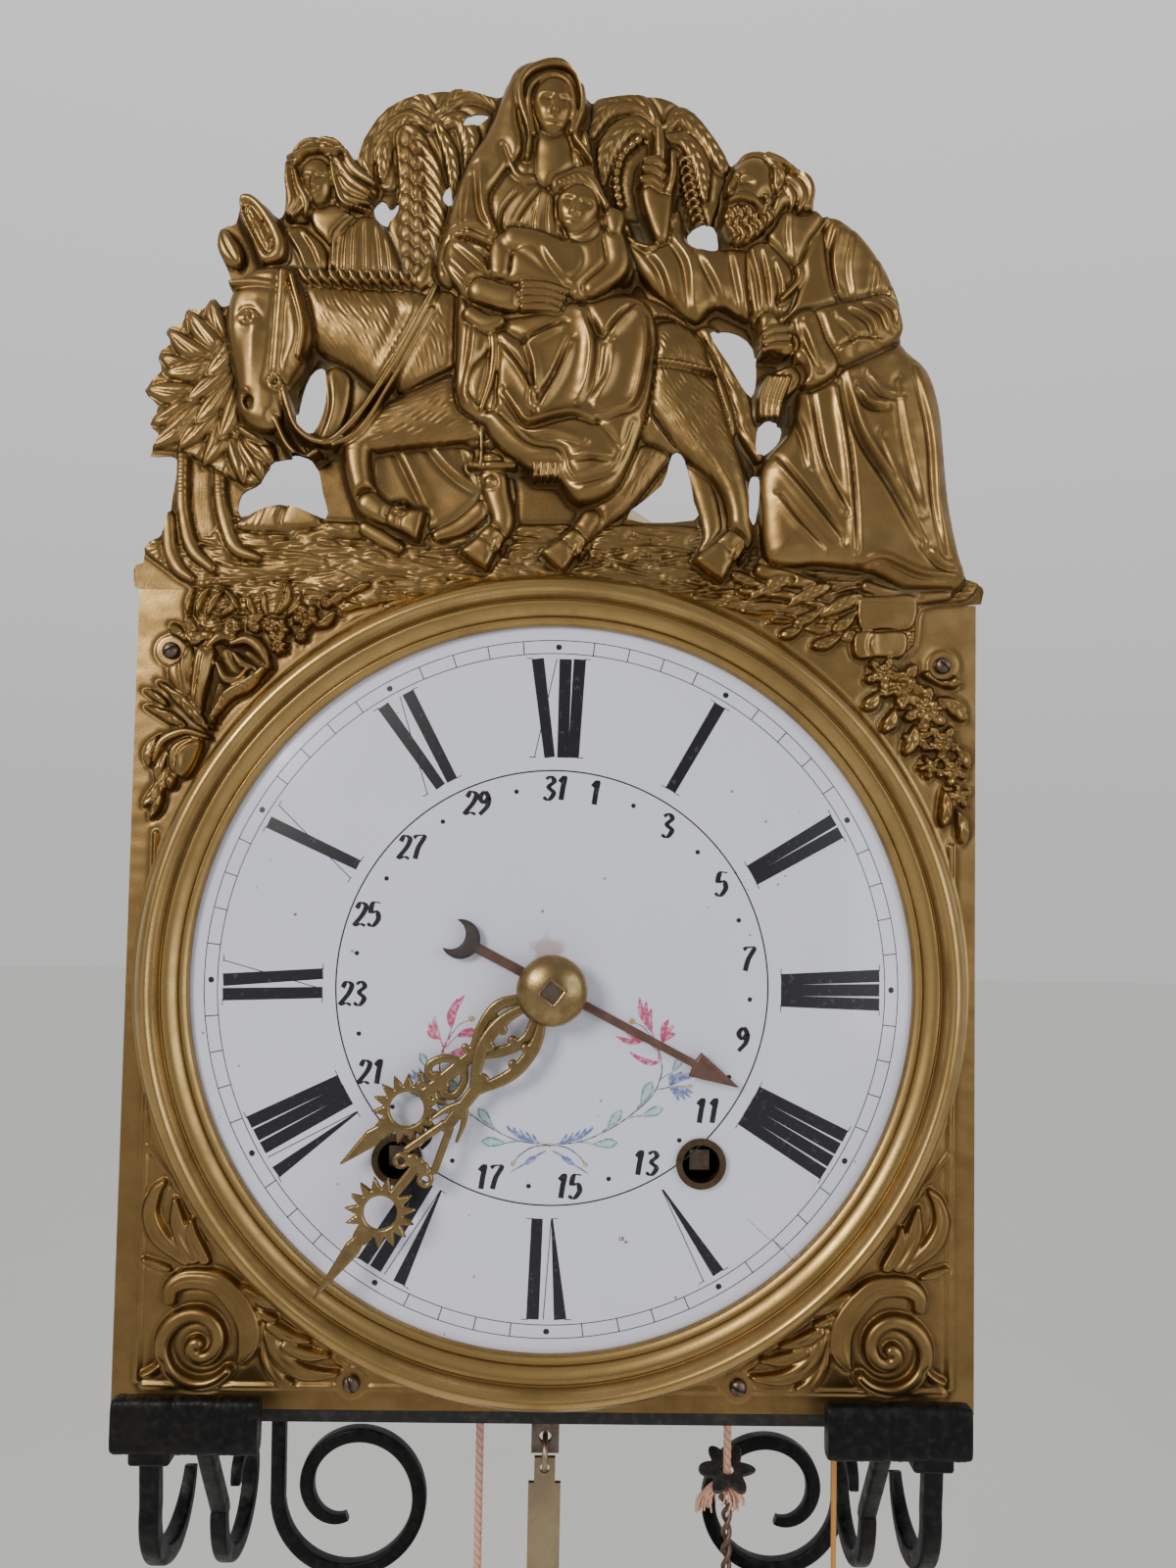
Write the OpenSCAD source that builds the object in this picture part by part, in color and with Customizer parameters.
// Comtoise wall clock: iron cage movement, enamel dial, pressed brass front and a forged wall bracket.
// Lengths are in millimetres. Places inside the clock are measured from the dial centre: x to the right,
// z up, and layers (y) back from the plane of the hour dots. The module wall_frame() moves them all to
// the wall mount, so the origin is the middle of the four bracket holes on the wall.

/* [Dial and hands] */
// Radius of the enamel dial
dial_r = 112; // [110.5:0.25:112.5]
// Thickness of the enamelled disc
dial_t = 2.5; // [1.5:0.1:3]
// Rise of the domed dial from its rim to its centre
dial_rise = 6; // [4:0.5:6.5]
// Half the distance between the two winding holes
winding_x = 45.4; // [44:0.2:47]
// Distance of the winding holes below the dial centre
winding_drop = 52; // [50:0.5:54]
// Radius of the opening in a winding hole's ferrule
ferrule_bore_r = 5.6; // [5:0.1:6.5]
// Length of the minute hand, from its centre to the tip
minute_len = 112; // [108:1:116]
// Length of the hour hand, from its centre to the tip
hour_len = 80; // [76:1:86]
// Length of the date hand, from its centre to the tip
date_len = 62; // [58:1:68]
// Thickness of the brass hands
hand_t = 1.2; // [0.8:0.1:1.3]
// Radius of the domed boss on the minute hand
boss_r = 10.4; // [9:0.2:12]

/* [Pressed brass front] */
// Width of the brass sheet beside the bezel
front_margin = 4.5; // [4:0.5:9]
// Thickness of the brass sheet
sheet_t = 1.2; // [0.8:0.1:1.2]
// Width of the bezel moulding outside the dial
bezel_w = 13; // [12:0.5:15]
// Height of the bezel moulding in front of the sheet
bezel_h = 11; // [8:0.5:13]
// Depth of the embossed figures as a share of their half width
relief_share = 0.55; // [0.4:0.05:0.7]
// Radius of a surround screw's shank
screw_r = 1.5; // [1.2:0.1:1.8]

/* [Iron cage] */
// Height of the cage between its plates
cage_h = 245.7; // [244:0.5:250]
// Thickness of the top and bottom plates
plate_t = 3.5; // [2.5:0.1:5]
// How far the plates stay inside the edges of the brass front
plate_inset = 5.5; // [3.5:0.1:5.9]
// Depth of the plates from front to back
plate_depth = 133; // [132:0.5:136]
// Side of a square corner pillar
pillar_w = 9; // [7:0.5:9]
// Thickness of the upright bars that carry the wheels
bar_t = 3; // [2:0.1:3.4]
// Thickness of the side doors and back panel
panel_t = 1.2; // [0.8:0.1:1.2]
// Greatest radius of the bell
bell_r = 50; // [44:1:52]
// Wall of the bell
bell_wall = 3; // [2:0.2:4]

/* [Movement] */
// Radius of a cord barrel's drum
drum_r = 19.5; // [18:0.5:20]
// Diameter of the weight cords
cord_d = 3; // [2.4:0.1:3]
// Radius of a barrel's end flanges
flange_r = 25; // [24:0.5:26]
// Radius of the escape wheel over its teeth
escape_r = 20; // [18:0.5:20.5]
// Radius of the wheel arbors
arbor_r = 2; // [1.6:0.1:2.05]
// Radial running clearance of an arbor in its hole
run_gap = 0.06; // [0.03:0.01:0.09]

/* [Pendulum and weights] */
// Width of the flat pendulum strip
strip_w = 10.5; // [8:0.5:12]
// Thickness of the pendulum strip
strip_t = 1.6; // [1:0.1:2]
// Radius of the pendulum bob
bob_r = 55; // [45:1:60]
// Thickness of the pendulum bob at its middle
bob_t = 20; // [14:1:24]
// Length of the pendulum from its bending point to the middle of the bob
pendulum_len = 640; // [620:5:660]
// Radius of a driving weight
weight_r = 32; // [26:1:33]
// Height of a driving weight
weight_h = 170; // [140:5:190]

/* [Wall bracket] */
// Side of the square bar of the scrolls
scroll_bar = 6; // [5:0.5:7]
// Width of the bar of an arm
arm_w = 12; // [10:0.5:13]
// Thickness of the bar of an arm
arm_t = 6; // [5:0.5:8]
// Width of the upturned lip at the front of an arm
lip_w = 42; // [36:1:44]
// Radius of the four screw holes in the wall bar
wall_hole_r = 3; // [2.5:0.25:4]
// Distance between the screw holes across the wall bar
wall_hole_dx = 200; // [190:2:206]
// Distance between the screw holes up the wall bar
wall_hole_dz = 22; // [18:1:26]

/* [Hidden] */
$fn = 64;

// Clearances: a seat within one body, and the gap between pieces that pass each other
seat = 0.02;
gap = 0.3;

// Layers, measured back from the hour-dot plane
wall_y = 143;
sheet_y = 2;
dial_rim_y = 1;
date_hand_y = -8.2;
hour_hand_y = -10.6;
minute_hand_y = -13;
boss_front_y = -19;
date_wheel_y = 3;
date_idler_y = 7;
hour_wheel_y = 10.2;
cannon_y = 15;
bridge_y = 20;
bridge_t = 2.5;
pendulum_y = 33;
rack_y = 27;
bars_y = 40;
escape_y = 50;
barrel_y = 60;
barrel_len = 38;
third_y = 74;
pin_wheel_y = 78;
warning_y = 66;
centre_wheel_y = 102.5;
strike_great_y = 104;
going_great_y = 112;
rear_bars_y = 122;
cord_y = 82;
bell_y = 70;

// Heights of the cage: its floor lies a little below the bezel
bezel_r = dial_r + bezel_w;
sheet_below = 2.7;
front_half_w = bezel_r + front_margin;
plate_half_w = front_half_w - plate_inset;
floor_z = -bezel_r - sheet_below;
roof_z = floor_z + cage_h;
base_z = floor_z - plate_t;
plate_front_y = sheet_y;
plate_back_y = plate_front_y + plate_depth;
sheet_back_y = sheet_y + sheet_t;
pillar_x = plate_half_w - 5;
pillar_front_y = sheet_back_y + gap + pillar_w / 2;
pillar_back_y = plate_back_y - 2 - pillar_w / 2;
tenon_r = 3;
nut_h = 5;
nut_r = 5.2;

// Arbor places, as [x, z]
hands_at = [0, 0];
going_at = [-winding_x, -winding_drop];
strike_at = [winding_x, -winding_drop];
drive_at = [-31.2, 0];
third_at = [-24, cage_h * 34 / 245.7];
escape_at = [0, cage_h * 56 / 245.7];
anchor_at = [0, escape_at[1] + escape_r * sqrt(2)];
idler_at = [40, 0];
pin_at = [winding_x, 10];
warning_at = [winding_x, 42];
fly_at = [winding_x, 64.8];
hammer_at = [64, 116];
pivot_r = 1.2;
motion_arbor_r = 1.3;
fly_arbor_r = 1.6;
minute_arbor_r = 3.6;
hour_pipe_r = 5;
date_pipe_r = 6.3;
dial_hole_r = 8;
arbor_square = 5;
winding_square = 6;

// Tooth counts: the train turns the minute arbor once an hour and beats 4500 times an hour
great_n = 84;
drive_pinion_n = 7;
centre_n = 80;
third_pinion_n = 8;
third_n = 60;
escape_pinion_n = 8;
escape_n = 30;
cannon_n = 30;
drive_wheel_n = 30;
motion_pinion_n = 6;
hour_n = 72;
hour_pinion_n = 14;
idler_n = 70;
idler_pinion_n = 10;
date_n = 124;
strike_great_n = 72;
pin_pinion_n = 8;
pin_n = 60;
warning_pinion_n = 8;
warning_n = 50;
fly_pinion_n = 7;

// Hand angles, clockwise from twelve
minute_angle = 216.9;
hour_angle = 229.7;
date_angle = 117;

// Cords: the fall leaves each barrel on its right side, clear of the wound turns
cord_r = cord_d / 2;
wound_r = drum_r + cord_r;
fall_drop = 12.2;
strike_knot_z = -192;
going_knot_z = -236;
knot_r = 3.2;
knot_flat = 0.6;
hook_len = 60;
wound_turns = 9;
wound_pitch = 3.6;
drum_ease = 0.22;
repeat_at = [plate_half_w - 21, 70];
repeat_d = 2;
repeat_lever_z = -105;
knob_top_z = -228;
knob_h = 18;
knob_r = 5.5;
repeat_route = [for (z = [3, 13, 27, 45, 65, 85, 105, 123])
    [repeat_at[0], repeat_at[1], repeat_lever_z - z]];

// Bracket places
arm_x = plate_half_w - 11;
arm_z = base_z;
wall_bar_h = 44;
wall_bar_t = 5;
wall_bar_z = arm_z - arm_t - wall_bar_h / 2;
lip_x = arm_x - 31;
lip_top_z = floor_z + 9.7;
lip_bottom_z = base_z - 2.8;
lip_y = -14;
lip_t = 6;

// Colours
BRASS = [0.72, 0.55, 0.25];
STEEL = [0.45, 0.43, 0.40];
IRON = [0.10, 0.10, 0.10];
ENAMEL = [0.86, 0.88, 0.92];
CORD = [0.72, 0.42, 0.28];

// Placing and profile helpers
module wall_frame() translate([0, -wall_y, -wall_bar_z]) children();
module at(p) translate([p[0], 0, p[1]]) children();
module slab(y0, y1) translate([0, y1, 0]) rotate([90, 0, 0]) linear_extrude(y1 - y0) children();
module rod_y(r, y0, y1) translate([0, y1, 0]) rotate([90, 0, 0]) cylinder(r = r, h = y1 - y0);
module box(x0, x1, y0, y1, z0, z1) translate([x0, y0, z0]) cube([x1 - x0, y1 - y0, z1 - z0]);
module turned_y(y0) translate([0, y0, 0]) rotate([90, 0, 0]) rotate_extrude() children();
module ring_x(r, wire_r) rotate([0, 90, 0]) rotate_extrude() translate([r, 0]) circle(wire_r, $fn = 24);
module ring_y(r, wire_r) rotate([90, 0, 0]) rotate_extrude() translate([r, 0]) circle(wire_r, $fn = 24);
function polar(r, a) = [r * cos(a), r * sin(a)];
function arc(c, rx, ry, a0, a1, n) = [for (i = [0 : n])
    let (a = a0 + (a1 - a0) * i / n) [c[0] + rx * cos(a), c[1] + ry * sin(a)]];

// Gears: a tooth is a trapezoid, and the phase is the direction in which one tooth points
function pair_module(p, q, n1, n2) = 2 * norm(q - p) / (n1 + n2);
function direction(p, q) = atan2(q[1] - p[1], q[0] - p[0]);
function tip_r(n, m) = m * (n / 2 + (n < 20 ? 0.75 : 0.9));
function gear_points(n, m, phase) = let (
    leaf = n < 20,
    root = m * (n / 2 - (leaf ? 1.3 : 1.25)),
    tip = tip_r(n, m),
    wide = (leaf ? 0.19 : 0.27) * 360 / n,
    narrow = (leaf ? 0.10 : 0.11) * 360 / n)
    [for (i = [0 : n - 1]) for (k = [0 : 3])
        polar(k == 0 || k == 3 ? root : tip,
            phase + 360 * i / n + [-wide, -narrow, narrow, wide][k])];
module gear(n, m, phase, y0, y1) slab(y0, y1) polygon(gear_points(n, m, phase));
// Direction in which a tooth points so that the gap of this gear faces its partner
function gap_phase(p, q, n) = direction(p, q) + 180 / n;
// Openings between the spokes of a wheel
module spoke_cuts(r_in, r_out, spokes, spoke_w, y0, y1) {
    a_out = asin(spoke_w / 2 / r_out);
    a_in = asin(spoke_w / 2 / r_in);
    span = 360 / spokes;
    for (i = [0 : spokes - 1])
        rotate([0, -i * span, 0]) slab(y0 - 1, y1 + 1)
            polygon(concat(arc([0, 0], r_out, r_out, a_out, span - a_out, 8),
                arc([0, 0], r_in, r_in, span - a_in, a_in, 8)));
}

// Sweeps a tube of the given sides along points; the frame is square to each tangent
function unit(v) = v / norm(v);
function tangent(p, i) = unit(p[min(i + 1, len(p) - 1)] - p[max(i - 1, 0)]);
function ring_points(p, i, r, sides, up) = let (
    t = tangent(p, i),
    side = unit(cross(t, up)),
    over = cross(side, t))
    [for (k = [0 : sides - 1]) p[i] + r * (cos(360 * k / sides) * side + sin(360 * k / sides) * over)];
module swept(p, r, sides, up) {
    n = len(p);
    points = [for (i = [0 : n - 1]) each ring_points(p, i, r, sides, up)];
    walls = [for (i = [0 : n - 2]) for (k = [0 : sides - 1]) let (
        a = i * sides + k,
        b = i * sides + (k + 1) % sides)
        each [[a, a + sides, b], [b, a + sides, b + sides]]];
    first = [for (k = [1 : sides - 2]) [0, k, k + 1]];
    last = [for (k = [1 : sides - 2]) let (o = (n - 1) * sides) [o, o + k + 1, o + k]];
    polyhedron(points, concat(walls, first, last), convexity = 12);
}

// Iron cage
module plate_blank(z0, front_y) {
    box(-plate_half_w, plate_half_w, front_y, plate_back_y, z0, z0 + plate_t);
    for (s = [-1, 1]) translate([s * hinge_x, hinge_y, z0])
        translate([-hinge_ear / 2, -hinge_ear / 2, 0]) cube([hinge_ear, hinge_ear, plate_t]);
}
module pillar_places() for (sx = [-1, 1], y = [pillar_front_y, pillar_back_y])
    translate([sx * pillar_x, y, 0]) children();
module plate_holes(z0) {
    pillar_places() translate([0, 0, z0 - 1]) cylinder(r = tenon_r + seat, h = plate_t + 2);
    for (s = [-1, 1]) translate([s * hinge_x, hinge_y, z0 - 1])
        cylinder(r = hinge_pin_r + seat, h = plate_t + 2);
    translate([hammer_at[0], hammer_at[1], z0 - 1]) cylinder(r = hammer_r + run_gap, h = plate_t + 2);
}
hinge_x = plate_half_w + 2.4;
hinge_y = pillar_back_y + 3.5;
hinge_pin_r = 1;
hinge_ear = 6.4;
hammer_r = 3;
tab_x = 58;
tab_h = 14;
tab_t = 2.6;
tab_screw_z = floor_z + 8.2;
pillar_screw_z = roof_z - 18;

module bottom_plate() color(IRON) difference() {
    union() {
        plate_blank(base_z, plate_front_y);
        for (s = [-1, 1]) box(s * tab_x - 6, s * tab_x + 6, sheet_back_y + gap,
            sheet_back_y + gap + tab_t, floor_z - 1, floor_z + tab_h);
    }
    plate_holes(base_z);
    for (s = [-1, 1]) at([s * tab_x, tab_screw_z]) rod_y(screw_r + seat, sheet_y, sheet_y + 10);
    box(-24, 24, pendulum_y - 7, pendulum_y + 7, base_z - 1, floor_z + 1);
    for (p = [going_at, strike_at]) translate([p[0] + wound_r, cord_y, base_z - 1])
        cylinder(r = 7, h = plate_t + 2);
    translate([repeat_at[0], repeat_at[1], base_z - 1]) cylinder(r = 3.5, h = plate_t + 2);
}
module top_plate() color(IRON) difference() {
    plate_blank(roof_z, sheet_back_y + gap);
    plate_holes(roof_z);
    translate([0, bell_y, roof_z - 1]) cylinder(r = bell_post_r + seat, h = plate_t + 2);
}
module corner_pillars() color(IRON) difference() {
    pillar_places() union() {
        translate([-pillar_w / 2, -pillar_w / 2, floor_z]) cube([pillar_w, pillar_w, cage_h]);
        translate([0, 0, base_z]) cylinder(r = tenon_r, h = cage_h + 2 * plate_t + nut_h);
    }
    for (s = [-1, 1]) at([s * pillar_x, pillar_screw_z]) rod_y(screw_r + seat, sheet_y, sheet_y + 9);
}
module pillar_nuts() color(IRON) pillar_places() difference() {
    translate([0, 0, roof_z + plate_t]) cylinder(r = nut_r, h = nut_h, $fn = 6);
    translate([0, 0, roof_z]) cylinder(r = tenon_r + seat, h = 20);
}

// Upright bars: a wide one for the going train, one for the escapement and one for the strike
bar_spans = [[-55, -19], [-6, 6], [winding_x - 7, winding_x + 7]];
stud_r = 1.5;
rack_stud_z = [36, 70];
module bar_blanks(y0) for (s = bar_spans) box(s[0], s[1], y0, y0 + bar_t, floor_z, roof_z);
module pivots(places, r, y0) for (p = places) at(p) rod_y(r + run_gap, y0 - 1, y0 + bar_t + 1);
module front_bars() color(IRON) {
    difference() {
        bar_blanks(bars_y);
        pivots([going_at, strike_at], barrel_arbor_r, bars_y);
        pivots([drive_at, anchor_at], arbor_r, bars_y);
        pivots([third_at, escape_at, pin_at, warning_at, fly_at], pivot_r, bars_y);
    }
    for (z = rack_stud_z) at([winding_x, z]) {
        rod_y(stud_r, rack_y - gap - 1.2, bars_y + 0.5);
        rod_y(stud_r + 1.8, rack_y - gap - 1.2, rack_y - gap);
    }
}
module rear_bars() color(IRON) difference() {
    bar_blanks(rear_bars_y);
    pivots([going_at, strike_at], barrel_arbor_r, rear_bars_y);
    pivots([drive_at, anchor_at, third_at, escape_at, pin_at, warning_at, fly_at], pivot_r, rear_bars_y);
}
module back_panel() color(IRON) {
    y0 = plate_back_y - panel_t;
    box(-pillar_x, pillar_x, y0, plate_back_y, floor_z, roof_z);
}

// Doors hang on full-height pins behind the rear pillars
door_in_x = pillar_x + pillar_w / 2 + gap;
door_gap_z = 0.5;
knuckle_r = 2.2;
knuckle_h = 26;
door_knob_r = 4;
module door(s) color(IRON) difference() {
    union() {
        mirror([s < 0 ? 1 : 0, 0, 0]) {
            box(door_in_x, door_in_x + panel_t, sheet_back_y + 2.5, hinge_y - 0.4,
                floor_z + door_gap_z, roof_z - door_gap_z);
            for (z = [floor_z + 20, roof_z - 20 - knuckle_h]) {
                translate([hinge_x, hinge_y, z]) cylinder(r = knuckle_r, h = knuckle_h);
                box(door_in_x, hinge_x, hinge_y - 1.8, hinge_y - 0.6, z, z + knuckle_h);
            }
            translate([door_in_x + panel_t - 0.2, 22, 0]) rotate([0, 90, 0]) {
                cylinder(r = 1.6, h = 4);
                translate([0, 0, 4]) sphere(door_knob_r - 1.2);
            }
        }
    }
    translate([s * hinge_x, hinge_y, floor_z]) cylinder(r = hinge_pin_r + run_gap, h = cage_h);
}
module left_door() door(-1);
module right_door() door(1);
module door_hinge_pins() color(STEEL) for (s = [-1, 1]) translate([s * hinge_x, hinge_y, base_z]) {
    cylinder(r = hinge_pin_r, h = cage_h + 2 * plate_t);
    translate([0, 0, cage_h + 2 * plate_t]) cylinder(r = 2, h = 1.5);
}

// Bell on its post above the top plate
bell_post_r = 3;
bell_seat = 0.5;
bell_mouth_z = roof_z + plate_t + 7;
bell_h = bell_r * 0.84;
module bell() color(BRASS) translate([0, bell_y, bell_mouth_z]) rotate_extrude() polygon(concat(
    [[bell_r - bell_wall - 1, 0], [bell_r, 0]],
    arc([0, 0], bell_r - 2, bell_h, 6, 84, 12), [[bell_post_r + seat, bell_h]],
    [[bell_post_r + seat, bell_h - bell_wall]],
    arc([0, 0], bell_r - 2 - bell_wall, bell_h - bell_wall, 82, 6, 12)));
module bell_post() color(STEEL) translate([0, bell_y, roof_z]) {
    cylinder(r = bell_post_r, h = plate_t + 7 + bell_h + 9);
    translate([0, 0, plate_t]) cylinder(r = 7, h = 2);
    translate([0, 0, plate_t + 7 + bell_h - bell_wall - 2]) cylinder(r = 6, h = 2 - bell_seat);
    translate([0, 0, plate_t + 7 + bell_h + seat]) cylinder(r = 6, h = 4, $fn = 6);
}

// Enamel dial, its feet, the ferrules of the winding holes
function dial_front_y(r) = dial_rim_y - dial_rise * (1 - pow(r / dial_r, 2));
ferrule_r = 7.5;
ferrule_flange = 1;
ferrule_wall = 1.2;
module dial() color(ENAMEL) difference() {
    turned_y(0) polygon(concat(
        [for (i = [0 : 10]) let (r = dial_hole_r + (dial_r - dial_hole_r) * i / 10) [r, -dial_front_y(r)]],
        [for (i = [10 : -1 : 0]) let (r = dial_hole_r + (dial_r - dial_hole_r) * i / 10)
            [r, -dial_front_y(r) - dial_t]]));
    for (p = [going_at, strike_at]) at(p) rod_y(ferrule_bore_r + ferrule_wall + seat, -9, 9);
}
module winding_ferrules() color(BRASS) for (p = [going_at, strike_at]) at(p) {
    front = dial_front_y(norm(p) + ferrule_r);
    near = dial_front_y(norm(p) - ferrule_r);
    difference() {
        union() {
            rod_y(ferrule_r, near - ferrule_flange - seat, near - seat);
            rod_y(ferrule_bore_r + ferrule_wall, near - ferrule_flange, front + dial_t);
        }
        rod_y(ferrule_bore_r, near - 5, front + dial_t + 2);
    }
}
foot_x = 42;
foot_z = dial_r - 14;
foot_r = 2;
module dial_feet() color(BRASS) for (sx = [-1, 1], sz = [-1, 1]) at([sx * foot_x, sz * foot_z]) {
    back = dial_front_y(norm([foot_x, foot_z]) + foot_r) + dial_t + seat;
    rod_y(foot_r, back, bars_y);
    rod_y(foot_r + 2, bars_y - 3, bars_y);
}

// Brass surround: a flat sheet with the bezel moulding and pressed corner bosses
surround_top_z = roof_z + 1;
surround_bottom_z = floor_z + 0.2;
bezel_in_r = dial_r - 2.5;
sheet_hole_r = dial_r + 0.6;
corner_bosses = [[104, -100, 20], [84, -112, 10], [116, -78, 11], [112, 92, 15], [100, 106, 16], [119,
    64, 9]];
boss_rise = 5;
module surround_blank() {
    box(-front_half_w, front_half_w, sheet_y, sheet_back_y, surround_bottom_z, surround_top_z);
    for (s = [-1, 1], b = corner_bosses) at([s * b[0], b[1]]) {
        ball = (b[2] * b[2] + boss_rise * boss_rise) / (2 * boss_rise);
        intersection() {
            translate([0, sheet_y - boss_rise + ball, 0]) sphere(ball);
            rod_y(b[2], sheet_y - boss_rise - 1, sheet_y + sheet_t / 2);
            at([-s * b[0], -b[1]]) box(-front_half_w, front_half_w, -30, 30, surround_bottom_z,
                surround_top_z);
        }
    }
}
module dial_surround() color(BRASS) difference() {
    union() {
        difference() {
            surround_blank();
            rod_y(bezel_r - 3, -30, 30);
        }
        turned_y(0) polygon(concat(
            [[sheet_hole_r, -sheet_back_y], [sheet_hole_r, gap - dial_rim_y], [bezel_in_r, gap - dial_rim_y]],
            arc([bezel_in_r + 2.2, 1.6], 2.2, 2, 180, 20, 6),
            arc([bezel_r - 5.2, bezel_h - sheet_y - 6], 5.2, 6, 160, 0, 10),
            [[bezel_r, -sheet_back_y]]));
    }
    for (s = [-1, 1]) {
        at([s * tab_x, tab_screw_z]) rod_y(screw_r + seat, -30, 30);
        at([s * pillar_x, pillar_screw_z]) rod_y(screw_r + seat, -30, 30);
    }
    for (s = [-1, 1]) {
        at([s * tab_x, tab_screw_z]) rod_y(4, -30, sheet_y);
        at([s * pillar_x, pillar_screw_z]) rod_y(4, -30, sheet_y);
    }
}
module surround_screws() color(STEEL) for (s = [-1, 1]) {
    for (p = [[s * tab_x, tab_screw_z], [s * pillar_x, pillar_screw_z]]) at(p) {
        rod_y(screw_r, sheet_y - 1, sheet_y + 6);
        rod_y(3.4, sheet_y - 1.8, sheet_y);
    }
}

// Embossed fronton: the pierced sheet and the main masses of the relief
fronton_edge = [[-128, 119], [-129, 125], [-127, 131], [-121, 137], [-119, 161], [-128, 161], [-127, 170],
    [-130, 180], [-125, 190], [-124, 199], [-117, 206], [-108, 210], [-103, 210], [-103, 216], [-108, 228],
    [-106, 235], [-100, 238], [-94, 231], [-90, 236], [-89, 250], [-84, 256], [-76, 258], [-67, 252],
    [-62, 262], [-56, 271], [-46, 276], [-36, 278], [-24, 275], [-19, 282], [-14, 286], [-6, 286], [1, 282],
    [5, 276], [18, 276], [25, 278], [34, 274], [41, 271], [48, 261], [56, 259], [65, 259], [73, 255],
    [78, 247], [78, 240], [88, 236], [96, 225], [103, 213], [105, 200], [113, 191], [117, 180], [119, 155],
    [122, 137], [125, 127], [124, 119]];
fronton_holes = [[[-62, 238], [-57, 241], [-53, 236], [-57, 231], [-62, 233]],
    [[-33, 266], [-31, 271], [-25, 271]], [[-39, 243], [-37, 248], [-36, 239]],
    [[-82, 177], [-79, 187], [-74, 189], [-73, 178], [-77, 167], [-82, 170]],
    [[-99, 141], [-99, 149], [-92, 153], [-88, 160], [-76, 160], [-73, 150], [-73, 141], [-85, 145]],
    [[20, 143], [31, 155], [33, 165], [38, 163], [42, 150], [42, 143]],
    [[44, 202], [52, 204], [59, 199], [60, 187], [57, 183], [51, 192]],
    [[60, 163], [61, 175], [69, 175], [67, 168]], [[57, 143], [58, 158], [62, 158], [61, 143]],
    [[37, 235], [43, 227], [48, 228], [47, 239]]];
// Masses of the relief, each a limb from [x, z, half width] to [x, z, half width]
relief_limbs = [
    [[-38, 196, 21], [28, 192, 19]], [[-46, 203, 17], [-74, 209, 10]], [[-88, 208, 10], [-95, 178, 7]],
    [[-98, 221, 4], [-103, 234, 3]], [[-91, 220, 4], [-96, 231, 3]], [[-45, 182, 10], [-62, 166, 6]],
    [[-62, 166, 5], [-58, 148, 4]], [[-58, 148, 4], [-42, 147, 4]], [[-30, 178, 9], [-22, 152, 5]],
    [[-22, 152, 5], [-25, 132, 5]], [[32, 186, 15], [47, 160, 7]], [[49, 158, 6], [54, 138, 5]],
    [[54, 136, 5], [44, 128, 5]], [[24, 166, 9], [14, 148, 5]], [[14, 148, 5], [4, 133, 5]],
    [[44, 206, 5], [58, 168, 4]], [[-8, 273, 13], [-6, 262, 12]], [[-18, 246, 16], [-8, 226, 20]],
    [[-6, 200, 22], [14, 192, 18]], [[-8, 180, 20], [0, 162, 17]], [[4, 238, 8], [5, 236, 8]],
    [[-10, 222, 9], [16, 220, 8]], [[-78, 246, 10], [-76, 240, 11]], [[-78, 226, 13], [-60, 219, 12]],
    [[-50, 262, 8], [-46, 226, 10]], [[-58, 262, 6], [-34, 270, 7]], [[16, 268, 7], [42, 258, 7]],
    [[25, 254, 5], [25, 232, 8]], [[30, 222, 11], [58, 225, 11]], [[58, 246, 11], [54, 237, 7]],
    [[67, 248, 9], [72, 242, 6]], [[70, 226, 13], [92, 214, 13]], [[84, 200, 20], [92, 184, 22]],
    [[92, 168, 24], [96, 142, 23]], [[74, 152, 10], [70, 134, 6]], [[112, 152, 7], [116, 132, 7]],
    [[74, 196, 11], [96, 204, 10]], [[62, 200, 5], [66, 184, 5]], [[-116, 160, 3.5], [-116, 130, 4]],
    [[-105, 160, 3.5], [-104, 130, 4]], [[-112, 192, 13], [-118, 172, 9]], [[-104, 168, 9], [-96, 158, 6]],
    [[-118, 127, 6], [-48, 131, 6]], [[-48, 131, 5], [54, 133, 5]], [[62, 127, 5], [112, 126, 6]]];
fronton_y = sheet_y - 0.4;
fronton_t = 0.4 + sheet_t / 2;
module fronton() color(BRASS) difference() {
    union() {
        slab(fronton_y, fronton_y + fronton_t) polygon(fronton_edge);
        intersection() {
            translate([0, fronton_y + 0.2, 0]) scale([1, relief_share, 1]) for (limb = relief_limbs) hull()
                for (e = limb) translate([e[0], 0, e[1]]) sphere(e[2], $fn = 16);
            box(-200, 200, -40, fronton_y + fronton_t / 2, 0, 300);
        }
    }
    for (h = fronton_holes) slab(-40, 10) polygon(h);
    rod_y(bezel_r + gap, -40, 20);
    box(-200, 200, fronton_y - 40, 20, 0, surround_top_z + gap);
}

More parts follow.
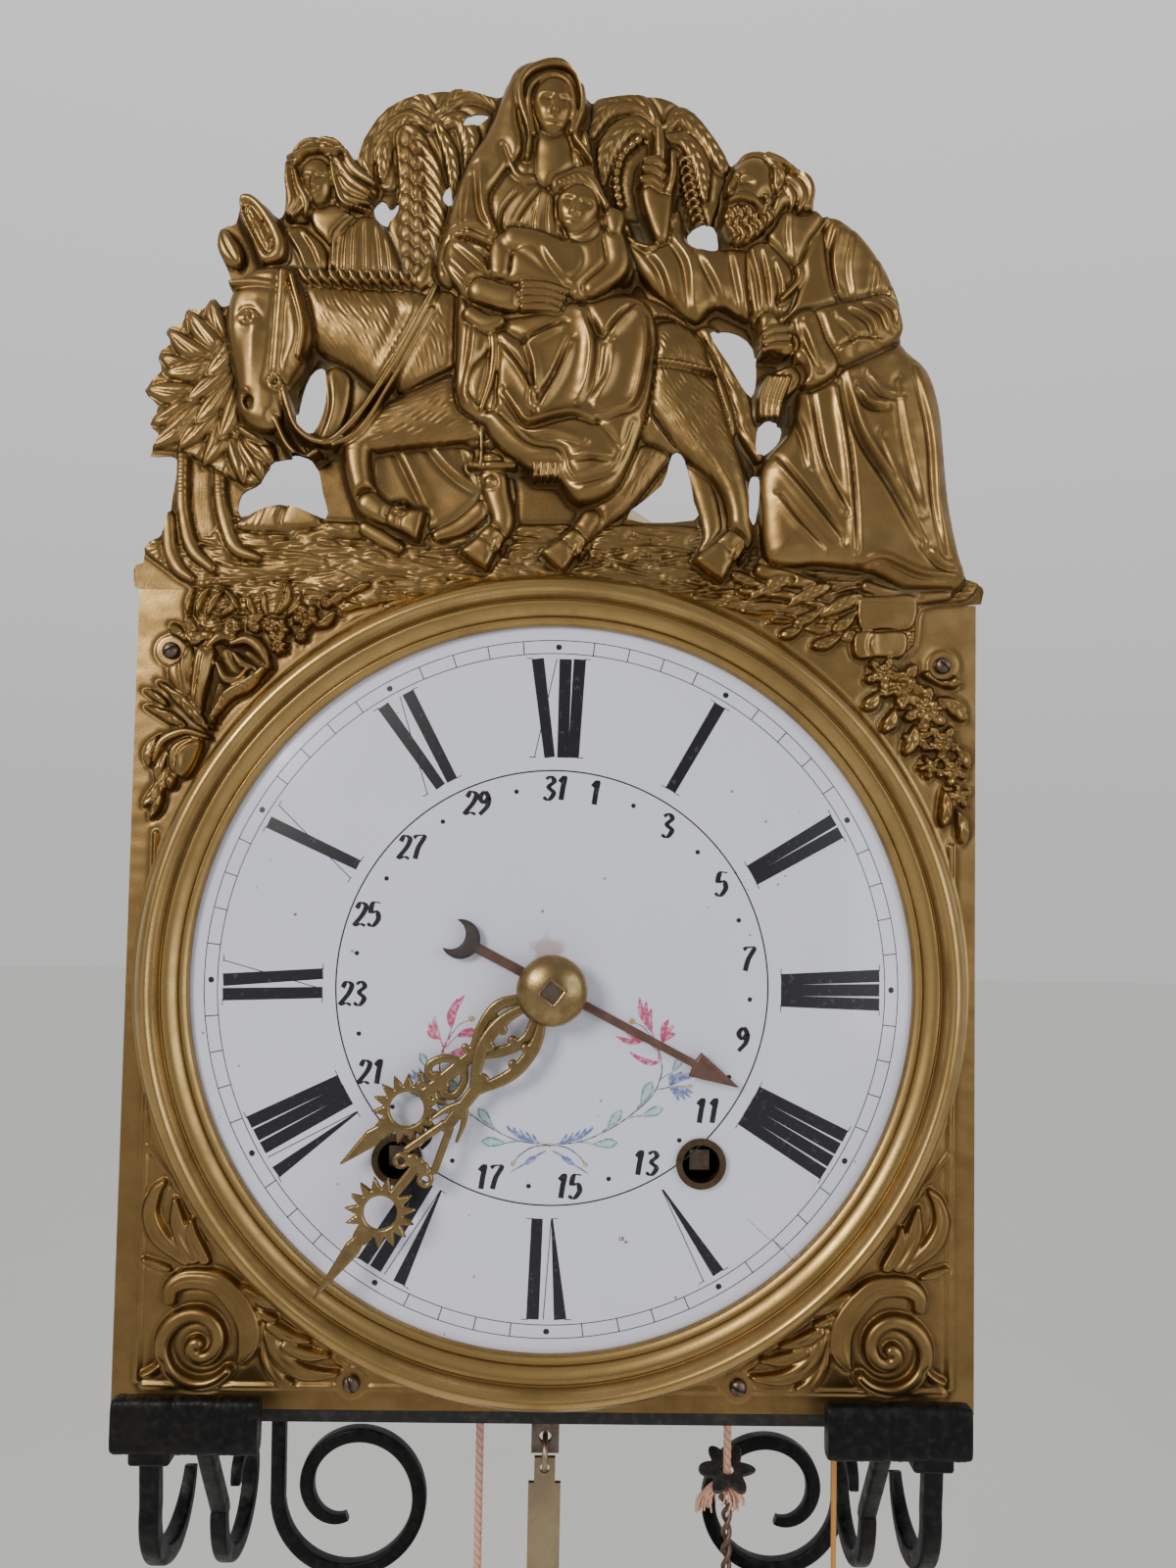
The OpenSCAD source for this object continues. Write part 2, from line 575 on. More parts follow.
// Hands, drawn pointing at twelve and then turned to the time shown
module hand_place(angle) rotate([0, angle, 0]) children();
function lozenge(r0, r1, w) = [[0, r0], [w * 0.8, r0 + (r1 - r0) * 0.3], [w, r0 + (r1 - r0) * 0.55], [0, r1],
    [-w, r0 + (r1 - r0) * 0.55], [-w * 0.8, r0 + (r1 - r0) * 0.3]];
module pierced_hand(len, sun_r, ring_r, hole_r, hub_r, bore_r, w, y0) difference() {
    neck = sun_r - ring_r;
    union() {
        rod_y(hub_r, y0, y0 + hand_t);
        slab(y0, y0 + hand_t) polygon(lozenge(hub_r - 1, neck * 0.52, w));
        slab(y0, y0 + hand_t) polygon(lozenge(neck * 0.42, neck, w * 0.8));
        slab(y0, y0 + hand_t) polygon([[-1.6, 0], [1.6, 0], [1.6, sun_r], [-1.6, sun_r]]);
        at([0, sun_r]) rod_y(ring_r, y0, y0 + hand_t);
        slab(y0, y0 + hand_t) polygon([[-2.6, sun_r + ring_r - 1], [2.6, sun_r + ring_r - 1], [0, len]]);
    }
    slab(y0 - 1, y0 + hand_t + 1) polygon(lozenge(hub_r + 1, neck * 0.46, w - 2.4));
    slab(y0 - 1, y0 + hand_t + 1) polygon(lozenge(neck * 0.5, neck * 0.86, w * 0.8 - 2.2));
    at([0, sun_r]) rod_y(hole_r, y0 - 1, y0 + hand_t + 1);
    rod_y(bore_r, y0 - 1, y0 + hand_t + 1);
}
module minute_hand() color(BRASS) hand_place(minute_angle) difference() {
    pierced_hand(minute_len, 81, 9.5, 4.8, 7, 0.5, 7, minute_hand_y);
    square_hole(arbor_square, minute_hand_y - 1, minute_hand_y + hand_t + 1);
}
module hour_hand() color(BRASS) hand_place(hour_angle)
    pierced_hand(hour_len, 55, 10, 5.6, hour_pipe_r + 3, hour_pipe_r + seat, 7, hour_hand_y);
date_tail_at = 31;
date_tail_r = 5.9;
date_bite_at = 34.4;
date_bite_r = 4.6;
date_bar = 1.5;
module date_hand() color(STEEL) hand_place(date_angle) difference() {
    y1 = date_hand_y + hand_t;
    tail_end = date_tail_at - date_tail_r + 1.4;
    union() {
        rod_y(date_pipe_r + 2, date_hand_y, y1);
        slab(date_hand_y, y1) polygon([[-date_bar, -tail_end], [date_bar, -tail_end],
            [date_bar, date_len - 10], [3.6, date_len - 10], [0, date_len], [-3.6, date_len - 10],
            [-date_bar, date_len - 10]]);
        slab(date_hand_y, y1) difference() {
            translate([0, -date_tail_at]) circle(date_tail_r);
            translate([0, -date_bite_at]) circle(date_bite_r);
        }
    }
    rod_y(date_pipe_r + seat, date_hand_y - 1, y1 + 1);
}
module square_hole(side, y0, y1) {
    half = side / 2 + seat;
    box(-half, half, y0, y1, -half, half);
}
module hand_boss() color(BRASS) hand_place(minute_angle) difference() {
    turned_y(0) polygon(concat([[0, -minute_hand_y]], [[boss_r, -minute_hand_y]],
        arc([0, -minute_hand_y + 1], boss_r, minute_hand_y - boss_front_y - 1, 0, 90, 10)));
    square_hole(arbor_square, boss_front_y - 1, 0);
}

// Motion work behind the dial
bridge_half_w = winding_x + 7;
bridge_half_h = 9;
post_r = 4;
idler_stud_r = 1.5;
cannon_module = pair_module(hands_at, drive_at, cannon_n, drive_wheel_n);
hour_module = pair_module(hands_at, drive_at, hour_n, motion_pinion_n);
idler_module = pair_module(hands_at, idler_at, hour_pinion_n, idler_n);
date_module = pair_module(hands_at, idler_at, date_n, idler_pinion_n);
module motion_bridge() color(BRASS) {
    difference() {
        union() {
            box(-bridge_half_w, bridge_half_w, bridge_y, bridge_y + bridge_t, -bridge_half_h, bridge_half_h);
            for (s = [-1, 1]) at([s * winding_x, 0]) rod_y(post_r, bridge_y + 1, bars_y);
        }
        rod_y(arbor_r + run_gap, bridge_y - 1, bridge_y + bridge_t + 1);
        at(drive_at) rod_y(arbor_r + run_gap, bridge_y - 1, bridge_y + bridge_t + 1);
    }
    at(idler_at) rod_y(idler_stud_r, date_wheel_y - 0.6, bridge_y + 1);
}
module minute_arbor() color(STEEL) {
    hand_place(minute_angle) box(-arbor_square / 2, arbor_square / 2, boss_front_y + 1.2, date_hand_y,
        -arbor_square / 2, arbor_square / 2);
    rod_y(minute_arbor_r, minute_hand_y + hand_t + seat, bridge_y - gap);
    rod_y(arbor_r, bridge_y - 1, bridge_y + bridge_t + gap + 1.5);
    rod_y(minute_arbor_r, bridge_y + bridge_t + gap, bridge_y + bridge_t + gap + 1.5);
    gear(cannon_n, cannon_module, gap_phase(hands_at, drive_at, cannon_n), cannon_y, cannon_y + 2);
}
snail_r = 25;
snail_low_r = 13;
module hour_wheel() color(BRASS) difference() {
    union() {
        rod_y(hour_pipe_r, hour_hand_y, hour_wheel_y + 2);
        gear(hour_pinion_n, idler_module, direction(hands_at, idler_at), date_idler_y - 0.5,
            date_idler_y + 2.1);
        gear(hour_n, hour_module, gap_phase(hands_at, drive_at, hour_n), hour_wheel_y, hour_wheel_y + 1.6);
        slab(hour_wheel_y + 1.6, hour_wheel_y + 2.8) polygon([for (i = [0 : 11]) for (k = [0 : 3])
            polar(snail_low_r + (snail_r - snail_low_r) * i / 11, i * 30 + k * 10)]);
    }
    rod_y(minute_arbor_r + run_gap, hour_hand_y - 1, hour_wheel_y + 4);
}
module date_wheel() color(BRASS) difference() {
    union() {
        rod_y(date_pipe_r, date_hand_y, date_wheel_y + 1);
        gear(date_n, date_module, gap_phase(hands_at, idler_at, date_n), date_wheel_y, date_wheel_y + 1.6);
    }
    rod_y(hour_pipe_r + run_gap, date_hand_y - 1, date_wheel_y + 3);
    spoke_cuts(date_pipe_r + 3, date_module * date_n / 2 - 4, 4, 5, date_wheel_y, date_wheel_y + 2);
}
module date_idler() color(BRASS) at(idler_at) difference() {
    union() {
        gear(idler_n, idler_module, gap_phase(idler_at, hands_at, idler_n), date_idler_y, date_idler_y + 1.6);
        gear(idler_pinion_n, date_module, direction(idler_at, hands_at), date_wheel_y - 0.4,
            date_idler_y + 0.2);
        rod_y(idler_stud_r + 1, date_idler_y, bridge_y - gap);
    }
    rod_y(idler_stud_r + run_gap, 0, bridge_y);
}

// Going train
great_module = pair_module(going_at, drive_at, great_n, drive_pinion_n);
centre_module = pair_module(drive_at, third_at, centre_n, third_pinion_n);
third_module = pair_module(third_at, escape_at, third_n, escape_pinion_n);
wheel_t = 2;
great_t = 3.5;
barrel_arbor_r = 4;
ratchet_r = 13;
ratchet_n = 18;
module drive_arbor() color(STEEL) at(drive_at) {
    rod_y(motion_arbor_r, hour_wheel_y - 0.4, cannon_y + 1);
    rod_y(arbor_r, cannon_y, bars_y + 5);
    gear(motion_pinion_n, hour_module, direction(drive_at, hands_at), hour_wheel_y - 0.4, hour_wheel_y + 2.6);
    gear(drive_wheel_n, cannon_module, direction(drive_at, hands_at), cannon_y, cannon_y + wheel_t);
    rod_y(arbor_r + 0.4, bars_y + bar_t + gap, rear_bars_y - gap);
    gear(drive_pinion_n, great_module, gap_phase(drive_at, going_at, drive_pinion_n),
        going_great_y - 1, going_great_y + great_t + 1);
    rod_y(pivot_r, rear_bars_y - 1, rear_bars_y + bar_t);
}
module crossed_wheel(n, m, phase, bore_r, hub_r, y0, t, spokes) difference() {
    rim = m * (n / 2 - 1.25) - 2.6;
    gear(n, m, phase, y0, y0 + t);
    rod_y(bore_r, y0 - 1, y0 + t + 1);
    spoke_cuts(hub_r, rim, spokes, 3.6, y0, y0 + t);
}
module centre_wheel() color(BRASS) at(drive_at)
    crossed_wheel(centre_n, centre_module, direction(drive_at, third_at), arbor_r + 0.4 + seat, 7,
        centre_wheel_y, wheel_t, 4);
module train_arbor(y0, y1, r = arbor_r) {
    rod_y(r, y0, y1);
    rod_y(pivot_r, bars_y, y0 + 1);
    rod_y(pivot_r, y1 - 1, rear_bars_y + bar_t);
}
train_y0 = bars_y + bar_t + gap;
train_y1 = rear_bars_y - gap;
module third_wheel() color(BRASS) at(third_at) {
    crossed_wheel(third_n, third_module, direction(third_at, escape_at), arbor_r - 0.1, 6, third_y,
        wheel_t, 4);
    train_arbor(train_y0, train_y1);
    gear(third_pinion_n, centre_module, gap_phase(third_at, drive_at, third_pinion_n),
        centre_wheel_y - 1, centre_wheel_y + wheel_t + 1);
}
module escape_wheel() color(BRASS) at(escape_at) {
    difference() {
        slab(escape_y, escape_y + wheel_t) polygon([for (i = [0 : escape_n - 1]) for (k = [0 : 1])
            polar(k == 0 ? escape_r : escape_r - 3.4, 360 * (i + k * 0.35) / escape_n)]);
        spoke_cuts(5, escape_r - 6, 4, 3, escape_y, escape_y + wheel_t);
    }
    train_arbor(train_y0, train_y1);
    gear(escape_pinion_n, third_module, gap_phase(escape_at, third_at, escape_pinion_n),
        third_y - 1, third_y + wheel_t + 1);
}
function ratchet_points() = [for (i = [0 : ratchet_n - 1]) for (k = [0 : 1])
    polar(k == 0 ? ratchet_r : ratchet_r - 2.5, 360 * (i + k * 0.15) / ratchet_n)];
module great_wheel(p, n, m, phase, y0) at(p) {
    crossed_wheel(n, m, phase, barrel_arbor_r + run_gap, 20, y0, great_t, 4);
    rotate([0, 45, 0]) translate([0, 0, ratchet_r + 4]) difference() {
        slab(y0 - 3, y0 - seat) polygon([[-3, 2.6], [3, 2.6], [3, -1], [-1, -3.4], [-3, -3.4]]);
        rod_y(1, y0 - 4, y0 + 1);
    }
    rotate([0, 45, 0]) translate([0, 0, ratchet_r + 4]) rod_y(1 - seat, y0 - 3.4, y0 + 0.5);
}
module going_great_wheel() color(BRASS)
    great_wheel(going_at, great_n, great_module, direction(going_at, drive_at), going_great_y);
module barrel(p, great_y) color(STEEL) at(p) {
    y1 = barrel_y + barrel_len;
    rod_y(drum_r - drum_ease, barrel_y, y1);
    rod_y(flange_r, barrel_y - 2, barrel_y);
    rod_y(flange_r, y1, y1 + 2);
    rod_y(barrel_arbor_r, bars_y - 2, rear_bars_y + bar_t);
    rod_y(barrel_arbor_r + 3, bars_y + bar_t + gap, barrel_y);
    rod_y(barrel_arbor_r + 3, y1, great_y - gap);
    rod_y(barrel_arbor_r + 3, great_y + great_t + gap, rear_bars_y - gap);
    slab(great_y - 3.4, great_y - gap) polygon(ratchet_points());
    half = winding_square / 2;
    box(-half, half, sheet_y - 1, bars_y - gap, -half, half);
}
module going_barrel() barrel(going_at, going_great_y);

// Wound cord: one tube that leaves the flange square, climbs along the drum and ends straight
wound_steps = 24;
wound_y0 = barrel_y + cord_d;
module winding(p) {
    turns = [for (i = [0 : wound_turns * wound_steps]) let (a = 360 * i / wound_steps)
        [wound_r * cos(a), wound_y0 + wound_pitch * i / wound_steps, wound_r * sin(a)]];
    head = turns[0];
    start = [[head[0], head[1] - 0.4, head[2] - cord_d]];
    tail = turns[len(turns) - 1];
    finish = [[tail[0], tail[1] + 0.4, tail[2] + cord_d]];
    along = concat(start, turns, finish);
    echo(least_gap_of_winding = min([for (i = [0 : wound_steps]) norm(turns[i] - turns[i + wound_steps])])
        - cord_d);
    color(CORD) at(p) swept(along, cord_r - seat, 6, [0, 1, 0]);
}
module going_winding() winding(going_at);
module fall(p, knot_z) color(CORD) {
    x = p[0] + wound_r;
    top = p[1] - fall_drop;
    steps = 12;
    foot = knot_z + knot_r - knot_flat + seat;
    swept([for (i = [0 : steps]) [x, cord_y, top + (foot - top) * i / steps]], cord_r, 8, [0, 1, 0]);
}
module going_cord() fall(going_at, going_knot_z);

// Driving weights with an eye, and the wire hook under the cord's knot
eye_r = 5;
wire_r = 1.2;
function weight_top(knot_z) = knot_z - knot_r - hook_len;
hook_ring_z = eye_r + 2 * eye_r - 2 * wire_r - gap;
module weight(p, knot_z) color(IRON) translate([p[0] + wound_r, cord_y, weight_top(knot_z) - eye_r]) {
    translate([0, 0, -weight_h]) rotate_extrude() polygon([[0, 0], [weight_r - 3, 0], [weight_r, 3],
        [weight_r, weight_h - 5], [weight_r - 5, weight_h], [0, weight_h]]);
    translate([0, 0, eye_r - 1.4]) ring_y(eye_r, wire_r);
}
module weight_hook(p, knot_z) translate([p[0] + wound_r, cord_y, weight_top(knot_z) - eye_r - 1.4]) {
    color(STEEL) {
        translate([0, 0, hook_ring_z]) ring_x(eye_r, wire_r);
        translate([0, 0, hook_ring_z + eye_r]) cylinder(r = wire_r, h = hook_len + 1.4 - hook_ring_z - seat);
    }
    color(CORD) translate([0, 0, hook_len + eye_r + 1.4 + knot_r]) difference() {
        sphere(knot_r);
        translate([0, 0, knot_r - knot_flat]) cylinder(r = knot_r, h = 2);
    }
}
module going_weight() weight(going_at, going_knot_z);
module going_weight_hook() weight_hook(going_at, going_knot_z);

// Strike train
strike_module = pair_module(strike_at, pin_at, strike_great_n, pin_pinion_n);
pin_module = pair_module(pin_at, warning_at, pin_n, warning_pinion_n);
warning_module = pair_module(warning_at, fly_at, warning_n, fly_pinion_n);
lift_pins = 8;
lift_pin_r = 1.2;
lift_circle_r = 24;
module strike_great_wheel() color(BRASS)
    great_wheel(strike_at, strike_great_n, strike_module, direction(strike_at, pin_at), strike_great_y);
module strike_barrel() barrel(strike_at, strike_great_y);
module strike_winding() winding(strike_at);
module strike_cord() fall(strike_at, strike_knot_z);
module strike_weight() weight(strike_at, strike_knot_z);
stop_z = strike_knot_z + knot_r + 3;
stop_tip_r = 10.5;
stop_root_r = 6;
stop_tilt = 26;
stop_t = 1.5;
stop_ease = 0.9;
module strike_weight_hook() {
    weight_hook(strike_at, strike_knot_z);
    color(IRON) translate([strike_at[0] + wound_r, cord_y, stop_z]) rotate([stop_tilt, 0, 0]) difference() {
        linear_extrude(stop_t, center = true)
            polygon([for (i = [0 : 11]) polar(i % 2 == 0 ? stop_tip_r : stop_root_r, i * 30)]);
        cylinder(r = cord_r + stop_ease, h = 2 * stop_t, center = true);
    }
}
module pin_wheel() color(BRASS) at(pin_at) {
    crossed_wheel(pin_n, pin_module, direction(pin_at, warning_at), arbor_r - 0.1, 6, pin_wheel_y,
        wheel_t, 4);
    train_arbor(train_y0, train_y1);
    gear(pin_pinion_n, strike_module, gap_phase(pin_at, strike_at, pin_pinion_n),
        strike_great_y - 1, strike_great_y + great_t + 1);
    for (i = [0 : lift_pins - 1]) rotate([0, (i + 0.5) * 360 / lift_pins, 0])
        translate([0, 0, lift_circle_r]) rod_y(lift_pin_r, pin_wheel_y + 1, pin_wheel_y + 8);
}
module warning_wheel() color(BRASS) at(warning_at) {
    crossed_wheel(warning_n, warning_module, direction(warning_at, fly_at), arbor_r - 0.1, 6,
        warning_y, wheel_t, 4);
    train_arbor(train_y0, train_y1);
    gear(warning_pinion_n, pin_module, gap_phase(warning_at, pin_at, warning_pinion_n),
        pin_wheel_y - 1, pin_wheel_y + wheel_t + 1);
}
fly_half = 19;
module fly() color(BRASS) at(fly_at) {
    train_arbor(train_y0, train_y1, fly_arbor_r);
    gear(fly_pinion_n, warning_module, gap_phase(fly_at, warning_at, fly_pinion_n),
        warning_y - 1, warning_y + wheel_t + 1);
    box(-fly_half, fly_half, 84, 98, -0.6, 0.6);
}
hammer_arm_z = bell_mouth_z + 8;
hammer_head_r = 6;
hammer_gap = 1;
hammer_tail_z = pin_at[1] + lift_circle_r + lift_pin_r + 3;
module hammer() color(STEEL) {
    translate([hammer_at[0], hammer_at[1], floor_z - plate_t]) cylinder(r = hammer_r,
        h = hammer_arm_z + 3 - floor_z + plate_t);
    box(hammer_at[0] - 2, hammer_at[0] + 2, bell_y, hammer_at[1], hammer_arm_z - 2, hammer_arm_z + 2);
    translate([bell_r + hammer_gap, bell_y, hammer_arm_z]) rotate([0, 90, 0])
        cylinder(r = hammer_head_r, h = hammer_at[0] + 3 - bell_r - hammer_gap);
    box(hammer_at[0] - 2, hammer_at[0] + 2, pin_wheel_y + 4, hammer_at[1], hammer_tail_z, hammer_tail_z + 4);
}

// Strike rack: a slotted bar on two headed studs, with a pin that drops towards the hour snail
rack_half_w = 4;
rack_t = 3;
rack_fall = 12;
rack_pin = [18, 36];
rack_pin_r = 1.2;
module rack_slot(z) {
    half = stud_r + run_gap;
    box(winding_x - half, winding_x + half, rack_y - 1, rack_y + rack_t + 1, z, z + rack_fall + 1);
    for (e = [z, z + rack_fall + 1]) at([winding_x, e]) rod_y(half, rack_y - 1, rack_y + rack_t + 1);
}
module strike_rack() color(STEEL) {
    difference() {
        union() {
            box(winding_x - rack_half_w, winding_x + rack_half_w, rack_y, rack_y + rack_t, 28, 88);
            box(rack_pin[0] - 2, winding_x, rack_y, rack_y + rack_t, rack_pin[1] + 16, rack_pin[1] + 21);
            box(rack_pin[0] - 2, rack_pin[0] + 2, rack_y, rack_y + rack_t, rack_pin[1] - 2, rack_pin[1] + 20);
        }
        for (z = rack_stud_z) rack_slot(z);
        for (i = [0 : 11]) at([winding_x + rack_half_w + 0.4, 33 + i * 4.2])
            slab(rack_y - 1, rack_y + rack_t + 1) polygon([[-2, 0], [1, -1.4], [1, 1.4]]);
    }
    at(rack_pin) rod_y(rack_pin_r, hour_wheel_y + 2, rack_y + 1);
}

// Repeat pull: a lever on a post, its cord and knob
lever_pivot = [80, repeat_lever_z];
lever_t = 4;
lever_y0 = repeat_at[1] - lever_t / 2;
lever_pin_r = 2;
module repeat_post() color(IRON) {
    y0 = lever_y0 + lever_t + gap;
    box(lever_pivot[0] - 4, lever_pivot[0] + 4, y0, y0 + 6, floor_z, lever_pivot[1] + 5);
    at(lever_pivot) rod_y(lever_pin_r, lever_y0 - 2, y0 + 1);
    at(lever_pivot) rod_y(lever_pin_r + 1.5, lever_y0 - 2, lever_y0 - gap);
}
module repeat_lever() color(STEEL) difference() {
    box(lever_pivot[0] - 8, repeat_at[0] + 3, lever_y0, lever_y0 + lever_t, lever_pivot[1] - 3,
        lever_pivot[1] + 3);
    at(lever_pivot) rod_y(lever_pin_r + run_gap, lever_y0 - 1, lever_y0 + lever_t + 1);
}
module repeat_cord() color([0.85, 0.5, 0.15]) swept([for (p = repeat_route) p - [0, 0, gap]],
    repeat_d / 2, 8, [0, 1, 0]);
module pull_knob() color([0.3, 0.18, 0.1]) translate([repeat_at[0], repeat_at[1], knob_top_z - gap - seat])
    rotate_extrude() polygon(concat([[0, 0], [1.6, 0]],
        arc([0, -knob_h * 0.58], knob_r, knob_h * 0.42, 70, -90, 12)));

// Escapement and pendulum
cock_half_w = 6;
spring_half_t = 0.25;
spring_w = 4;
slit_half = 1;
crutch_y = 35.5;
fork_z = 40;
module suspension_cock() color(BRASS) difference() {
    box(-cock_half_w, cock_half_w, pendulum_y - 5, bars_y, anchor_at[1] + 5, anchor_at[1] + 13);
    box(-slit_half, slit_half, pendulum_y - 6, pendulum_y + spring_w / 2 + 0.5, anchor_at[1],
        anchor_at[1] + 20);
}
anchor_shape = [[-20, -10], [-14, 1], [-5, 5], [5, 5], [14, 1], [20, -10], [17.2, -13.8], [14.9, -11.4],
    [10.5, -4.5], [0, -3.5], [-10.5, -4.5], [-14.9, -11.4], [-17.2, -13.8]];
module anchor() color(STEEL) at(anchor_at) {
    slab(escape_y - 1, escape_y + wheel_t + 1) polygon(anchor_shape);
    rod_y(arbor_r, crutch_y, rear_bars_y - gap);
    rod_y(pivot_r, rear_bars_y - 1, rear_bars_y + bar_t);
    box(-2.5, 2.5, crutch_y, crutch_y + 2.5, fork_z - anchor_at[1] - 2, 3);
    box(-5, 5, crutch_y, crutch_y + 2.5, fork_z - anchor_at[1] - 2, fork_z - anchor_at[1] + 2);
    for (s = [-1, 1]) box(s * 3.8 - 1.2, s * 3.8 + 1.2, pendulum_y - 4, crutch_y + 1,
        fork_z - anchor_at[1] - 2, fork_z - anchor_at[1] + 2);
}
rod_r = 2;
tab_hole_z = -150;
link_r = 5;
module pendulum_rod() color(STEEL) translate([0, pendulum_y, 0]) difference() {
    union() {
        box(-spring_half_t, spring_half_t, -spring_w / 2, spring_w / 2, anchor_at[1] - 6, anchor_at[1] + 12);
        box(-3, 3, -2, 2, anchor_at[1] - 14, anchor_at[1] - 5);
        translate([0, 0, tab_hole_z + 4]) cylinder(r = rod_r, h = anchor_at[1] - 10 - tab_hole_z - 4);
        box(-4.5, 4.5, -1, 1, tab_hole_z - 5, tab_hole_z + 9);
    }
    at([0, tab_hole_z]) rod_y(2, -5, 5);
}
strip_hole_z = tab_hole_z - 2 * link_r;
strip_top_z = strip_hole_z + 3.4;
bob_z = anchor_at[1] - pendulum_len;
strip_end_z = bob_z - bob_r + 6;
module pendulum_strip() color([0.55, 0.47, 0.33]) translate([0, pendulum_y, 0]) {
    difference() {
        union() {
            box(-3.4, 3.4, -strip_t / 2, strip_t / 2, strip_top_z - 9, strip_top_z);
            box(-strip_w / 2, strip_w / 2, -strip_t / 2, strip_t / 2, strip_end_z, strip_top_z - 8);
            translate([0, 0, strip_end_z - 34]) cylinder(r = 2, h = 36);
        }
        at([0, strip_hole_z]) rod_y(1.6, -5, 5);
    }
    translate([0, 0, tab_hole_z - link_r]) ring_x(link_r, 0.9);
}
module pendulum_bob() color(BRASS) translate([0, pendulum_y, bob_z]) {
    difference() {
        turned_y(0) polygon(concat(arc([0, 0], bob_r, bob_t / 2, -90, 90, 16), [[0, bob_t / 2]]));
        box(-strip_w / 2 - 0.1, strip_w / 2 + 0.1, -strip_t / 2 - 0.1, strip_t / 2 + 0.1,
            6 - bob_r - 0.1, bob_r + 1);
        translate([0, 0, -bob_r - 1]) cylinder(r = 2.1, h = 9.2);
    }
    translate([0, 0, -bob_r - 6]) difference() {
        cylinder(r = 7, h = 5);
        translate([0, 0, -1]) cylinder(r = 2 + seat, h = 8);
    }
}

// Wall bracket: a wall bar, two arms with upturned lips, and forged scrolls
module bracket_back_bar() color(IRON) difference() {
    box(-arm_x - arm_w, arm_x + arm_w, wall_y - wall_bar_t, wall_y, arm_z - arm_t - wall_bar_h,
        arm_z - arm_t);
    for (sx = [-1, 1], sz = [-1, 1]) at([sx * wall_hole_dx / 2, wall_bar_z + sz * wall_hole_dz / 2])
        rod_y(wall_hole_r, wall_y - 20, wall_y + 5);
}
module bracket_arms() color(IRON) for (s = [-1, 1]) mirror([s < 0 ? 1 : 0, 0, 0]) {
    box(arm_x - arm_w / 2, arm_x + arm_w / 2, lip_y + 1, wall_y, arm_z - arm_t, arm_z);
    box(lip_x, lip_x + lip_w, lip_y, lip_y + lip_t, lip_bottom_z, lip_top_z);
}
// A flat bar bent along a line of centres, drawn as a band of constant thickness
function left_of(p, i) = let (t = unit(p[min(i + 1, len(p) - 1)] - p[max(i - 1, 0)])) [-t[1], t[0]];
function band(p, w) = concat([for (i = [0 : len(p) - 1]) p[i] + left_of(p, i) * w / 2],
    [for (i = [len(p) - 1 : -1 : 0]) p[i] - left_of(p, i) * w / 2]);
// Spiral whose radius eases from r0 to r1 while it turns from a0 to a1
function spiral(c, r0, r1, a0, a1, ease, n) = [for (i = [0 : n]) let (
    t = i / n,
    r = r0 + (r1 - r0) * pow(t, ease))
    c + polar(r, a0 + (a1 - a0) * t)];
under_arm = arm_z - arm_t;
front_curl = concat([[-1, under_arm - seat], [-1, under_arm - 4]], spiral([20, arm_z - 26.8], 20, 19,
    170, 345, 1, 14));
rear_volute = concat([[44, under_arm - seat], [44, under_arm - 5], [54, arm_z - 33.8]],
    spiral([100, arm_z - 69.8], 27, 6, 168, 520, 1, 28));
wall_volute_drop = wall_bar_h + arm_t;
volute_left = arm_x - 2;
volute_right = arm_x + 8;
left_volute = concat([[-volute_left, arm_z - wall_volute_drop - seat],
    [-volute_left, arm_z - wall_volute_drop - 4]],
    spiral([30.5 - volute_left, arm_z - 95.8], 30, 9, 180, 620, 2.6, 36));
right_volute = concat([[volute_right, arm_z - wall_volute_drop - seat],
    [volute_right, arm_z - wall_volute_drop - 4]],
    spiral([volute_right - 28, arm_z - 95.8], 28, 9, 0, -440, 2.6, 36));
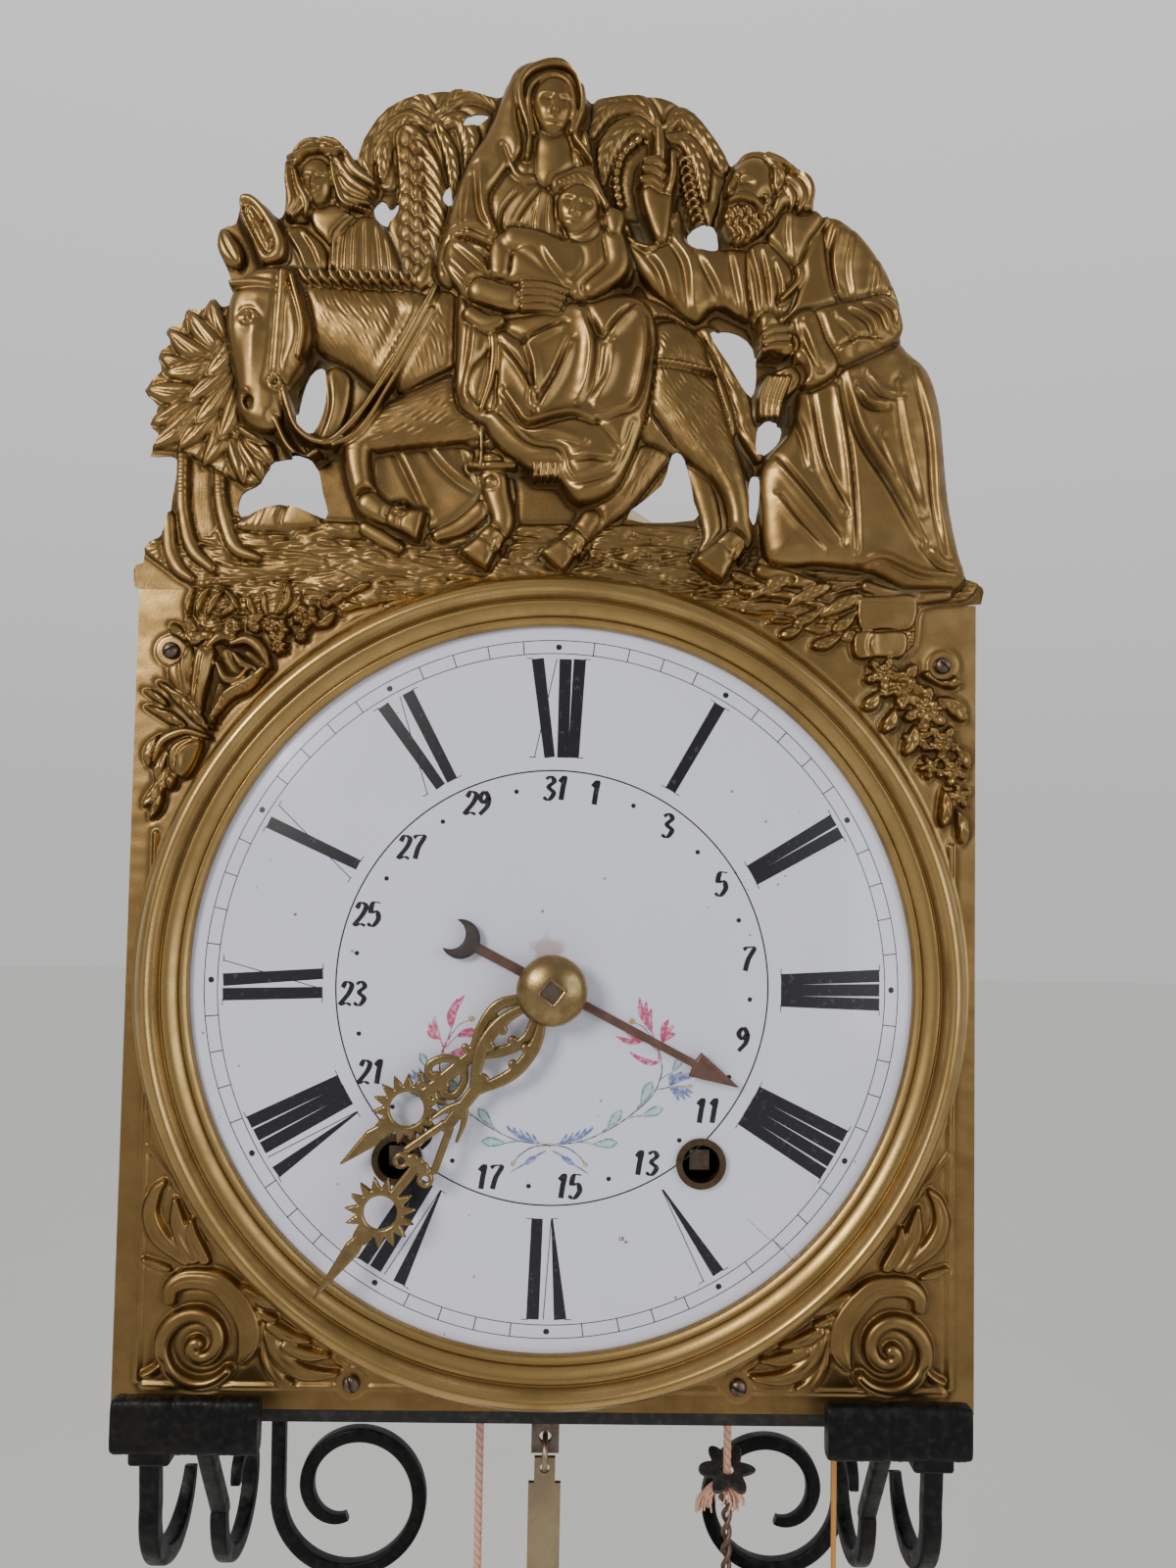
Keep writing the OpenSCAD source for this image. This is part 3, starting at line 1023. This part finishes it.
module side_scroll(path) translate([arm_x, 0, 0]) rotate([90, 0, 90]) linear_extrude(scroll_bar)
    polygon(band(path, scroll_bar));
module bracket_scrolls() color(IRON) {
    for (s = [-1, 1]) mirror([s < 0 ? 1 : 0, 0, 0]) {
        side_scroll(front_curl);
        side_scroll(rear_volute);
    }
    for (path = [left_volute, right_volute])
        slab(wall_y - scroll_bar, wall_y) polygon(band(path, scroll_bar));
}

wall_frame() bottom_plate();
wall_frame() top_plate();
wall_frame() corner_pillars();
wall_frame() pillar_nuts();
wall_frame() front_bars();
wall_frame() rear_bars();
wall_frame() back_panel();
wall_frame() dial();
wall_frame() dial_feet();
wall_frame() dial_surround();
wall_frame() fronton();
wall_frame() surround_screws();
wall_frame() winding_ferrules();
wall_frame() motion_bridge();
wall_frame() suspension_cock();
wall_frame() repeat_post();
wall_frame() bell();
wall_frame() bell_post();
wall_frame() door_hinge_pins();
wall_frame() bracket_back_bar();
wall_frame() bracket_arms();
wall_frame() bracket_scrolls();
wall_frame() left_door();
wall_frame() right_door();
wall_frame() minute_arbor();
wall_frame() minute_hand();
wall_frame() hand_boss();
wall_frame() hour_wheel();
wall_frame() hour_hand();
wall_frame() date_wheel();
wall_frame() date_hand();
wall_frame() date_idler();
wall_frame() drive_arbor();
wall_frame() centre_wheel();
wall_frame() third_wheel();
wall_frame() escape_wheel();
wall_frame() going_great_wheel();
wall_frame() going_barrel();
wall_frame() going_winding();
wall_frame() going_cord();
wall_frame() going_weight();
wall_frame() going_weight_hook();
wall_frame() strike_great_wheel();
wall_frame() strike_barrel();
wall_frame() strike_winding();
wall_frame() strike_cord();
wall_frame() strike_weight();
wall_frame() strike_weight_hook();
wall_frame() pin_wheel();
wall_frame() warning_wheel();
wall_frame() fly();
wall_frame() hammer();
wall_frame() strike_rack();
wall_frame() repeat_lever();
wall_frame() repeat_cord();
wall_frame() pull_knob();
wall_frame() anchor();
wall_frame() pendulum_rod();
wall_frame() pendulum_strip();
wall_frame() pendulum_bob();
